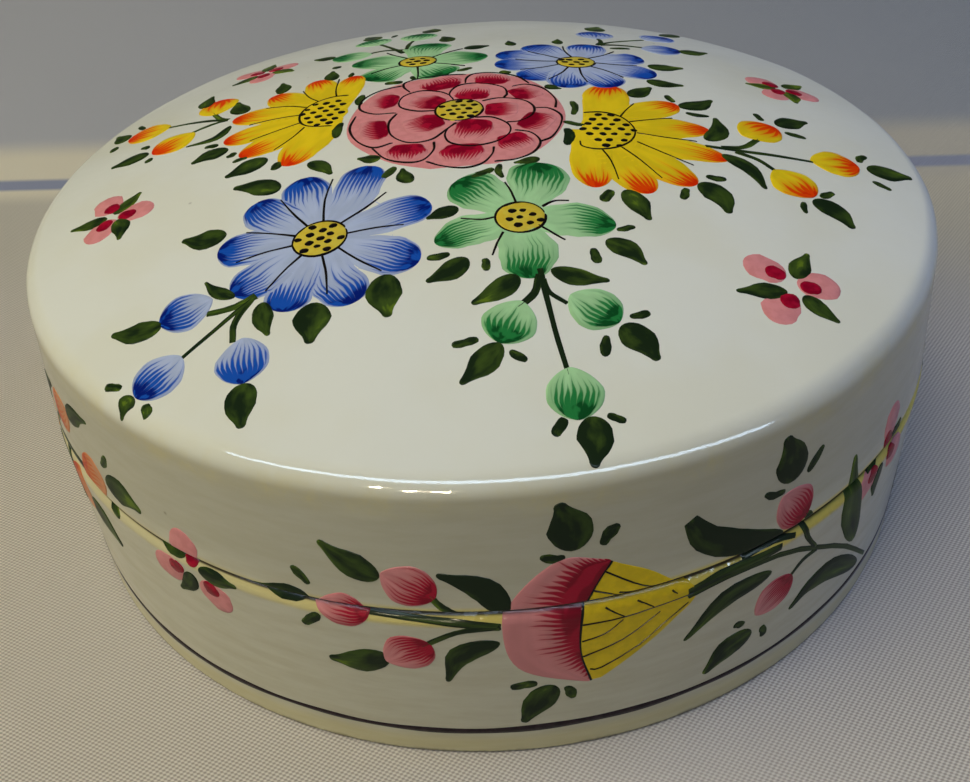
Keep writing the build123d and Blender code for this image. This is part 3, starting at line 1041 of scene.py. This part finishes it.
def yellow_right(brush):
    """The yellow flower to the right of the rose, with its leaves and three buds."""
    half_daisy(
        brush,
        ([(14.6, 5.0), (14.2, 0.0), (13.7, -3.5), (12.5, -7.0), (11.9, -11.0)],
         [(19.5, 5.0), (20.4, 0.0), (20.8, -4.0), (19.5, -8.0), (16.5, -12.0)]),
        [(17.2, -2.5, 18.8, 9.6, 6.6, BLUNT), (18.0, -1.5, 27.2, 4.2, 5.0, BLUNT),
         (18.0, -3.6, 30.2, -3.1, 6.2, POINTED), (18.0, -5.6, 31.2, -10.6, 5.6, POINTED),
         (17.0, -6.4, 26.0, -16.9, 5.6, BLUNT), (15.8, -7.0, 20.2, -19.2, 5.4, BLUNT),
         (14.4, -4.6, 13.8, -18.2, 5.4, BLUNT)],
        [[(19, -0.8), (20.2, 1.6), (21.4, 3.6)], [(20, -2.2), (23, -1.2), (25.9, -0.3)],
         [(20.5, -5.2), (24, -6), (28, -6.5)], [(20.2, -7.5), (23.2, -10), (26.5, -12.5)],
         [(18.1, -9), (20, -12), (22.1, -15.9)], [(15.6, -9.7), (16.4, -12.4), (16.8, -16.5)]],
        (16.9, -4.5, 7.0, 10.0),
        [(14.4, 0.3), (17.0, 0.4), (19.2, -1.0), (20.4, -4.2), (19.6, -7.2), (17.6, -9.1),
         (15.2, -9.7), (13.3, -9.0), (13.1, -7.6)],
    )
    brush.leaves(0.2, [
        (21.2, 5.9, 24.6, 9.6, 2.9), (26.3, 7.2, 26.9, 4.8, 1.1), (27.4, 3.4, 32.6, 6.3, 3.0, -0.08),
        (28.0, 1.8, 31.0, 1, 1.1), (29.3, -6.0, 32.2, 0.6, 2.9, -0.12), (30.6, -9.3, 35.0, -16.2, 2.6, 0.1),
        (17.3, -18.6, 19.4, -24.4, 3.1), (15.6, -18.6, 14.4, -21, 1.5), (26.4, -16.4, 29.4, -22, 3.7, 0.1),
        (24.8, -17.7, 23.9, -20.1, 1.2), (30, -15.1, 27.5, -14.9, 1.3), (13.2, 4, 13.2, -0.4, 1.1),
        (11.5, -2.3, 14.2, -3.5, 1.1), (11.7, -4.2, 11.5, -8.7, 1.5), (40.0, 0.8, 44.8, 3.5, 3.3),
        (37.7, 3.8, 38.3, 1.7, 1.1), (43.3, -2, 40.6, -1.0, 1.2), (49.6, -8.2, 55.7, -8, 3.7),
        (50.6, -4.2, 48.9, -6.4, 1.2), (49.4, -11, 51.5, -12.4, 1.1), (40.0, -17.6, 43.9, -22.3, 3.6, 0.1),
        (43.2, -15.3, 41.2, -16.8, 1.2), (38.7, -18.3, 38.3, -20.7, 0.9),
    ])
    brush.stems(
        (0.8, (28.8, -7.5), (33, -8), (38, -8.2), (43, -8.5)),
        (1.1, (31, -7.7), (34, -6.8), (36.3, -4.2)),
        (0.9, (32.5, -8.3), (35, -9.8), (36.8, -12)),
    )
    brush.buds(YELLOW_BUD, 6.4, 6.2, (37.0, -1.9, 35), (45.4, -8, 0), (38.4, -14.4, -55))


def yellow_left(brush):
    """The yellow flower to the left of the rose, with its leaves and three buds."""
    half_daisy(
        brush,
        ([(-18.0, 15.0), (-23.0, 11.5), (-24.0, 7.0), (-23.0, 2.5), (-22.0, -3.5)],
         [(-14.7, 15.0), (-15.5, 11.0), (-16.6, 7.0), (-17.6, 3.0), (-19.4, -3.5)]),
        [(-18.6, 9.0, -16.3, 19.8, 4.6, BLUNT), (-19.6, 9.4, -22.0, 20.4, 5.2, BLUNT),
         (-20.6, 8.8, -28.2, 17.0, 5.4, BLUNT), (-20.6, 7.8, -33.2, 10.6, 5.6, BLUNT),
         (-20.4, 6.0, -33.4, 3.4, 5.4, BLUNT), (-20.0, 4.4, -30.4, -2.2, 5.4, BLUNT),
         (-19.0, 4.8, -23.8, -7.2, 6.2, BLUNT)],
        [[(-18.6, 12), (-18.9, 15), (-18.8, 19.4)], [(-21.0, 11.0), (-22.6, 13.4), (-23.8, 16.6)],
         [(-22.6, 9.6), (-25.2, 11.2), (-28.6, 12.2)], [(-23.2, 7.2), (-26.4, 7.5), (-30.4, 7.3)],
         [(-22.9, 4.6), (-26, 3.4), (-29.6, 2.0)], [(-22.2, 3.0), (-23.8, 0.2), (-25.8, -2.3)]],
        (-19.8, 7.1, 6.8, 9.6),
        [(-16.8, 11.6), (-19.4, 11.8), (-22.0, 10.2), (-23.2, 7.4), (-22.9, 4.6), (-21.4, 2.9), (-18.4, 2.0)],
    )
    brush.leaves(0.3, [
        (-19.7, 19.4, -20.2, 24, 2.4), (-27.1, 17.4, -27.4, 22.6, 2.4), (-17.3, 19.6, -17.0, 21.6, 0.9),
        (-31.6, 12.5, -33.8, 18, 2.9), (-33.2, 8.8, -38.5, 4.6, 1.8, 0.22), (-32.3, 0.9, -37.2, -0.6, 3.3),
        (-34.0, 2.9, -36.0, 3.4, 1.2), (-31, -0.6, -32.2, -1.5, 1.2), (-29.2, -2.8, -31.2, -3.2, 1.0),
        (-26.4, -4.2, -31.6, -7, 3.6), (-24.8, -5.7, -25.4, -7.6, 1.4), (-17.2, 2.6, -17.8, -1.9, 1.4),
        (-14.8, 11, -15.3, 7.4, 1.3), (-38.6, 19.6, -38.9, 25, 2.7), (-50.8, 15.6, -52.4, 19.4, 2.8),
        (-44.6, 6.6, -50, 5.8, 3.2), (-45.2, 8.8, -46.4, 10.0, 1.1), (-43.9, 4.9, -44.4, 3.6, 1.1),
        (-48.2, 18.6, -49.4, 21.0, 1.0), (-51.4, 14.4, -51.8, 12.6, 1.3),
    ])
    brush.stems(
        (1.1, (-34.0, 11.4), (-35.4, 12.6), (-36.9, 16.0)),
        (0.8, (-34.0, 11.4), (-38, 13.4), (-43.8, 15.4)),
        (0.9, (-34.0, 11.4), (-36.2, 11.2), (-39.0, 9.9)),
    )
    brush.buds(YELLOW_BUD, 6.6, 6.2, (-36.6, 18.2, 95), (-46.6, 15.6, 180), (-41.2, 7.8, 215))


def blue_back(brush):
    """The other blue daisy, behind and to the right of the rose."""
    x, y = 15.3, 19.4
    tips = [(4.2, 24.6), (3.6, 19), (7.2, 12.3), (12.8, 8.6), (19.6, 9.0), (26.0, 14.0), (25.4, 22.4),
            (18.4, 29.4), (9.4, 29)]
    angles = []
    brush.blob(x, y, 17.0, 16.0, BLUE_WASH, UNDER)
    for tip_x, tip_y in tips:
        angles.append(math.atan2(tip_y - y, tip_x - x))
        brush.petal(x, y, math.degrees(angles[-1]), math.hypot(tip_x - x, tip_y - y), 6.0, BLUE_PETAL, BROAD)
    gaps = [a + 0.5 * ((b - a) % (2 * math.pi)) for a, b in zip(angles, angles[1:] + angles[:1])]
    spokes(brush, x, y, 2.5, [(x + 8.8 * math.cos(g), y + 8.8 * math.sin(g)) for g in gaps])
    brush.disc(x, y, 5.4, 5.2)
    brush.leaves(0.3, [
        (25.6, 19.0, 30.8, 18.8, 3.2), (24.4, 12.2, 29.4, 11.0, 2.8), (10.2, 9.6, 12.2, 8.2, 1.8),
        (4.4, 15.9, 5.6, 14.7, 1.5), (13.8, 29.6, 13.8, 33.2, 1.8), (6.6, 29.0, 6.2, 32.2, 1.8),
        (31.8, 28.6, 36.6, 30.0, 3.2), (20.5, 41, 21.5, 46.5, 3.4), (31.5, 42, 35.0, 46.0, 3.2),
        (21.2, 27.6, 24.4, 28.0, 1.2),
    ])
    brush.stems(
        (0.8, (19.5, 29.5), (22.2, 32), (27.6, 35.8)),
        (1.0, (20, 29.6), (23.4, 30.0), (26.6, 29.4)),
        (0.9, (19.6, 29.6), (20.4, 31.6), (20.2, 34)),
    )
    brush.buds(BLUE_BUD, 6.2, 6.0, (29.2, 28.8, 5), (30, 38, 50), (20, 37, 90))


def green_back(brush):
    """The other green flower, behind and to the left of the rose."""
    x, y = -7.5, 23.2
    for tip_x, tip_y, shape in ((-14.4, 16.4, BROAD), (-3.4, 15.6, BROAD), (2.8, 23.8, POINTED),
                                (-5.6, 34.0, BROAD), (-17.4, 25.8, POINTED)):
        angle = math.degrees(math.atan2(tip_y - y, tip_x - x))
        brush.petal(x, y, angle, math.hypot(tip_x - x, tip_y - y), 7.0, GREEN_PETAL, shape)
    spokes(brush, x, y, 2.6, [(-7.4, 14.8), (-0.6, 19.2), (-0.8, 28.6), (-12.4, 30.2), (-14.2, 19.6)])
    brush.disc(x, y, 5.4, 5.2)
    brush.leaves(0.3, [
        (-0.6, 28.6, 3.2, 29.6, 2.6), (-3.2, 34.4, -3.8, 39.0, 2.8), (-9.4, 14.2, -12.0, 14.4, 1.5),
        (0.4, 18.2, -1.8, 17.0, 1.2), (-8.2, 16.4, -7.8, 14.6, 0.9), (-19.0, 25.9, -20.4, 26.0, 1.4),
        (-15.6, 43.8, -16.6, 49.0, 3.4), (-20.6, 32.6, -24.0, 33.8, 2.8), (-6.5, 44.2, -5.2, 48.6, 3.2),
        (-12.2, 43.8, -11.8, 46.0, 1.1),
    ])
    brush.stems(
        (0.9, (-9.8, 29), (-11.4, 32.6), (-13.8, 37.8)),
        (1.0, (-10, 31.0), (-12.6, 32.2), (-15.4, 31.6)),
        (0.8, (-9.4, 31.2), (-9.2, 34.6), (-8.6, 37.6)),
    )
    brush.buds(GREEN_BUD, 6.2, 6.0, (-15, 40.6, 110), (-17.8, 31.2, 175), (-7.8, 40.6, 80))


# Pink sprigs in the gaps between the sprays: place on the lid and tone, then blooms and leaves about it.
TOP_SPRIGS = [
    (34, -34, 0.3, [(-3.1, 2.4, -2.0, 1.8), (2.5, 0.3, 1.5, -0.1), (-2.5, -3.6, -1.3, -2.4)],
     [(0.0, 1.2, 2.6, 5.6), (-1.3, -1.0, -7.0, -1.4), (0.4, -1.4, 3.4, -5.0)]),
    (-45.5, -9.5, 0.6, [(-1.8, 3.2, -1.0, 2.0), (2.7, -0.4, 1.6, -0.6), (-1.4, -2.9, -1.2, -1.8)],
     [(-0.4, 0.4, 2.4, 4.4), (-1.2, -0.2, -6.2, -0.4), (0.4, -1.2, 1.8, -6.0)]),
    (44.5, 15.5, 0.6, [(-2.6, 1.6, -1.5, 1.1), (2.6, -1.4, 1.5, -0.9), (-1.6, -2.8, -1.0, -1.7)],
     [(0.4, 0.8, 3.8, 3.4), (-1.0, 0.0, -5.4, -0.2), (0.2, -1.2, 0.8, -5.4)]),
    (-31.5, 32, 0.6, [(-2.7, 1.5, -1.5, 0.9), (2.6, 1.2, 1.5, 0.7), (-0.2, -3.0, -0.1, -1.8)],
     [(0.0, 1.2, 0.4, 5.8), (-1.2, -0.8, -4.8, -3.4), (1.2, -0.8, 4.9, -3.2)]),
]


def top_sprigs(brush):
    """Four little pink sprigs in the gaps between the sprays."""
    for x, y, tone, blooms, leaves in TOP_SPRIGS:
        brush.tone = tone
        brush.sprig(x, y, blooms, leaves)


# ---------------------------------------------------------------- the painting on the walls

SPRAY_PITCH = WALL_R * math.pi / 2      # four sprays go round the box
SPRAY_MIDDLE = 11.8                     # middle of the front spray, from the front
ORANGE_RISE = 3.2                       # how much higher the orange sprays are painted,
RISE_FADE_DOWN = 24.0                   # less and less towards this far below the seam
RISE_END = 14.6                         # and towards this far above it,
RISE_FADE_UP = 8.5                      # over this last stretch


def thistle(brush, body):
    """Half-round body with a combed dark edge, and a veined yellow fan on its other side."""
    boundary = [(11.3, 5.1), (9.9, 2.8), (8.4, -0.6), (7.9, -5.0), (8.0, -9.2), (9.1, -13.9)]
    outline = [(10.9, 5.5), (5.8, 6.4), (0.9, 1.6), (-0.3, -4.0), (1.4, -10.4), (8.7, -14.1)]
    fan_edge = [(11.6, 4.9), (16.4, 1.8), (20.9, -3.6), (18.0, -7.4), (14.4, -10.6), (10.2, -13.8)]
    shares = np.linspace(0, 1, 34)
    edge = smooth(boundary, shares)
    brush.patch(edge, smooth(fan_edge, shares), YELLOW, WASH, 14)
    brush.patch(smooth(outline, shares), edge, body, WASH + 0.01, 16, sideways=True)
    brush.edge_line(edge, 0.3)
    for vein in (
        [(8.0, -4.2), (12.5, -4.3), (16, -4.0), (20.6, -3.7)], [(10.4, 4.0), (14.5, 0.8), (17.8, -0.4)],
        [(9.2, 1.6), (12, 0.2)], [(12.0, 0.6), (14.6, -0.2)], [(10.5, -2.2), (12.6, -4.2)],
        [(14.0, -2.2), (15.9, -3.9)], [(17.9, -2.2), (18.5, -2.9)], [(8.0, -6.9), (10.5, -6.3), (12.5, -4.6)],
        [(8.1, -9.5), (12.5, -7.9), (16.7, -4.9)],
        [(8.9, -11.8), (10.2, -11.9), (14.5, -9.5), (17, -7.2), (20, -4.9)],
    ):
        brush.line(vein, 0.28)


def wall_spray(brush, body, bud):
    """One of the sprays round the walls, drawn as the front one: thistle, buds, stems and leaves."""
    thistle(brush, body)
    brush.leaves(0.05, [
        (7.5, 7.4, 6, 13.7, 4.8), (6.5, 6.7, 3.9, 7.0, 1.2), (10.3, 7.4, 12, 9.8, 1.5),
        (32.5, 7.0, 31.5, 13.5, 4.6), (31.8, 6.2, 28.8, 7.0, 1.1), (35.0, 7.0, 37.2, 9.6, 1.3),
        (0.4, -0.2, -6, 6, 3.4, -0.1),
    ])
    brush.leaves(0.3, [
        (5, -13.7, 1.4, -20, 3.8), (0.2, -13.4, 3.2, -13.0, 1.4), (6.3, -14.2, 7.2, -16.6, 1.3),
        (-12.4, 4.6, -18.6, 8.5, 3.5), (-20.4, 0, -27.4, -0.3, 3.7), (-20.2, 2.2, -22, 4.4, 1.2),
        (-19.7, -2.8, -21.8, -5.2, 1.4), (-12.6, -8.3, -19.5, -10.5, 3.9),
        (-0.6, -5.5, -7, -11.5, 3.0, -0.16), (31.0, -6.2, 19.5, -10.5, 3.2, -0.12),
        (29.3, -15.2, 22.8, -18.9, 4.0), (26.4, -12.6, 28.0, -13.1, 1.2),
        (30.9, -15.4, 31.4, -17.6, 1.2), (47.2, -12.6, 43.2, 4.2, 4.2, 0.05),
    ])
    brush.stroke([(50.5, -19.5), (43.5, -14.6), (38.6, -13.7), (35.2, -15.6)], 3.7, GREEN, leaf_shape, LEAF)
    brush.tone = 0.0
    brush.stroke([(19.8, 7.7), (22.0, 4.3), (26.0, 2.0), (32.0, 0.3)], 3.9, GREEN, KNOBBED, LEAF)
    brush.stems(
        (1.5, (19.8, -3.5), (25.0, -2.4), (32.0, -2.8)),
        (1.1, (26.5, -1.5), (31.0, -1.4), (34.0, -2.3)),
    )
    brush.tone = 0.2
    brush.stems(
        (1.1, (-0.4, -3.1), (-5, -2.3), (-10, -1.8), (-15.2, -1.5)),
        (1.0, (-0.4, -3.0), (-5, -3.7), (-8.9, -6.2)),
        (1.1, (-4.8, -0.2), (-6.2, 0.9), (-7.4, 2.7)),
        (1.0, (19.6, -4.0), (25, -3.2), (32, -4), (38, -7), (45, -12), (53, -20)),
        (0.9, (35, -1), (36.2, -4), (38, -6.8)),
        (0.9, (38.5, -7.4), (36, -7.7), (34.2, -9.2)),
        (1.4, (35.6, -1.0), (36.0, 0.2), (35.2, 1.2)),
    )
    brush.buds(bud, 6.2, 5.7, (-9.5, 3.8, -30), (-10.4, -7.4, 35), (33.4, 3.2, -50), (32, -10.8, 35))
    brush.buds(bud, 6.2, 6.0, (-17, -1.2, -5))


def round_wall(index):
    """Where a stroke of the front spray goes in one of the four: every other one is mirrored and higher."""
    middle = SPRAY_MIDDLE + index * SPRAY_PITCH

    def plain(s, v):
        return middle + (s - SPRAY_MIDDLE), v

    def mirrored(s, v):
        share = min(1.0, 1.0 + v / RISE_FADE_DOWN, (RISE_END - v) / RISE_FADE_UP)
        return middle - (s - SPRAY_MIDDLE), v + ORANGE_RISE * share

    return mirrored if index % 2 else plain


# Pink sprigs between the sprays: place on the wall, then blooms and leaves about it.
WALL_SPRIGS = [
    (-36.0, -3.0, [(-0.7, 4.2, 0.0, 1.7), (-4.1, -1.6, -2.7, -0.9), (2.7, -3.0, 2.3, -1.9)],
     [(-1.0, 1.4, -6.0, 2.4), (1.0, 0.6, 6.3, 0.2), (-0.2, -0.8, -3.0, -5.0)]),
    (50.8, -1.0, [(2.0, 4.2, 1.2, 2.0), (-3.4, -2.6, -2.2, -1.9), (4.2, -2.8, 2.8, -1.9)],
     [(-0.6, 0.6, -3.6, -0.8), (1.6, 0.8, 5.4, 2.2), (0.2, -1.8, -0.6, -6.6)]),
]


def foot_line():
    """Thin painted line round the base, a little uneven in height and width."""
    turns = np.linspace(-math.pi, 1.015 * math.pi, SEGMENTS + 1)
    v = RING_Z - SEAM_Z - RIM_ROUND * (math.pi / 2 - 1)
    v = v + 0.12 * np.sin(3 * turns + 0.5) + 0.06 * np.sin(11 * turns)
    half = 0.5 * RING_WIDTH * (1 + 0.18 * np.sin(7 * turns + 1) + 0.1 * np.sin(31 * turns))
    s = WALL_R * turns
    brush = Brush(71)
    brush.patch(np.stack([s, v + half], axis=1), np.stack([s, v - half], axis=1), RING, WASH, 4)
    mesh = brush.mesh("paint_foot_line", on_wall)
    new_piece("paint_foot_line", mesh, brush.paints, "base")


# ---------------------------------------------------------------- stage

CAMERA_AT = (0.0, -132.84, 112.556)
CAMERA_YAW = 0.00555
CAMERA_DOWN = 0.678507
CAMERA_ROLL = -0.066259
CAMERA_LENS = 40.825
SENSOR_WIDTH = 36.0
LIGHTS_AIM_AT = (0, 0, 0.03)     # in metres
FLOOR_HALF = 3.0                # half the floor's width, in metres


def add_camera():
    """Camera in front of the box and above it, close enough for a strong perspective."""
    forward = Vector((-math.sin(CAMERA_YAW) * math.cos(CAMERA_DOWN),
                      math.cos(CAMERA_YAW) * math.cos(CAMERA_DOWN), -math.sin(CAMERA_DOWN)))
    right = Vector((math.cos(CAMERA_YAW), math.sin(CAMERA_YAW), 0))
    up = right.cross(forward)
    rolled_right = math.cos(CAMERA_ROLL) * right + math.sin(CAMERA_ROLL) * up
    rolled_up = math.cos(CAMERA_ROLL) * up - math.sin(CAMERA_ROLL) * right
    data = bpy.data.cameras.new("camera")
    data.lens = CAMERA_LENS
    data.sensor_width = SENSOR_WIDTH
    data.clip_start = 0.005
    camera = bpy.data.objects.new("camera", data)
    bpy.context.scene.collection.objects.link(camera)
    facing = Matrix((rolled_right, rolled_up, -forward)).transposed().to_4x4()
    camera.matrix_world = Matrix.Translation(Vector(CAMERA_AT) * MM) @ facing
    bpy.context.scene.camera = camera


def add_light(name, at, width, height, power, colour, roll=0.0):
    """Soft rectangular light in metres, aimed at the box."""
    data = bpy.data.lights.new(name, "AREA")
    data.shape = "RECTANGLE"
    data.size = width
    data.size_y = height
    data.energy = power
    data.color = colour
    light = bpy.data.objects.new(name, data)
    bpy.context.scene.collection.objects.link(light)
    aim = (Vector(LIGHTS_AIM_AT) - Vector(at)).to_track_quat("-Z", "Y")
    light.matrix_world = Matrix.Translation(at) @ aim.to_matrix().to_4x4() @ Matrix.Rotation(roll, 4, "Z")
    return light


def add_lights():
    for name, at, width, height, power, colour in (
        ("front lamp", (-0.20, -0.27, 0.86), 0.35, 0.35, 2.05, (1.0, 0.97, 0.98)),
        ("ceiling", (-0.20, 0.10, 0.95), 0.9, 0.9, 2.0, (1.0, 1.0, 0.80)),
        ("left", (-0.70, -0.10, 0.70), 0.5, 0.5, 3.55, (1.0, 0.905, 0.62)),
        ("right", (0.80, 0.22, 0.55), 0.6, 0.6, 3.1, (0.20, 0.38, 1.0)),
        ("window glow", (-0.65, -0.78, 0.58), 1.2, 0.2, 1.0, (0.54, 0.73, 1.0)),
    ):
        add_light(name, at, width, height, power, colour).visible_glossy = False
    window = add_light("window", (0.085, -0.70, 0.60), 2.8, 0.16, 24.0, (0.62, 0.80, 1.0), roll=-0.35)
    window.visible_diffuse = False
    for x, y, z in ((-0.34, -0.75, 0.29), (-0.235, -0.81, 0.18), (-0.15, -0.83, 0.17)):
        add_light("lamp", (x, y, z), 0.04, 0.06, 1.7, (1.0, 0.85, 0.60)).visible_diffuse = False
    world = bpy.data.worlds.new("world")
    world.use_nodes = True
    world.node_tree.nodes["Background"].inputs[0].default_value = (0.70, 0.80, 1.0, 1.0)
    world.node_tree.nodes["Background"].inputs[1].default_value = 0.01
    bpy.context.scene.world = world
    bpy.context.scene.view_settings.view_transform = "Standard"


def add_floor():
    """Wide plain floor under the box."""
    mesh = bpy.data.meshes.new("floor")
    corners = [(x * FLOOR_HALF, y * FLOOR_HALF, 0) for x, y in ((-1, -1), (1, -1), (1, 1), (-1, 1))]
    mesh.from_pydata(corners, [], [(0, 1, 2, 3)])
    mesh.materials.append(cloth())
    floor = bpy.data.objects.new("floor", mesh)
    bpy.context.scene.collection.objects.link(floor)


# ---------------------------------------------------------------- the box

def make_shell():
    """Enamelled shells stand for the CAD's outer nodes; the floor and the collar keep theirs."""
    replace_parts(make_base_hoop(), "base_hoop")
    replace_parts(make_lid_band(), "lid_band")
    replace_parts(make_lid_crown(), "lid_crown")
    for name in ("base_floor", "locating_collar"):
        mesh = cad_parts[name].data
        mesh.materials.clear()
        mesh.materials.append(LINING)


def paint_top():
    motifs = [rose, blue_spray, green_spray, yellow_right, yellow_left, blue_back, green_back, top_sprigs]
    for seed, motif in enumerate(motifs):
        brush = Brush(seed + 1)
        motif(brush)
        brush.lay_on_top("paint_" + motif.__name__)


def paint_walls():
    """Pink and orange sprays by turns round the box, with a sprig before each."""
    for index in range(4):
        brush = Brush(31 + index, round_wall(index))
        wall_spray(brush, *((EMBER, EMBER_BUD) if index % 2 else (THISTLE, PINK_BUD)))
        s, v, blooms, leaves = WALL_SPRIGS[index % 2]
        brush.move = lambda x, y: (x, y)
        brush.sprig(s + 2 * SPRAY_PITCH * (index // 2), v, blooms, leaves)
        brush.lay_on_wall(f"paint_wall_{index + 1}")
    foot_line()


add_camera()
add_lights()
add_floor()
make_shell()
paint_top()
paint_walls()
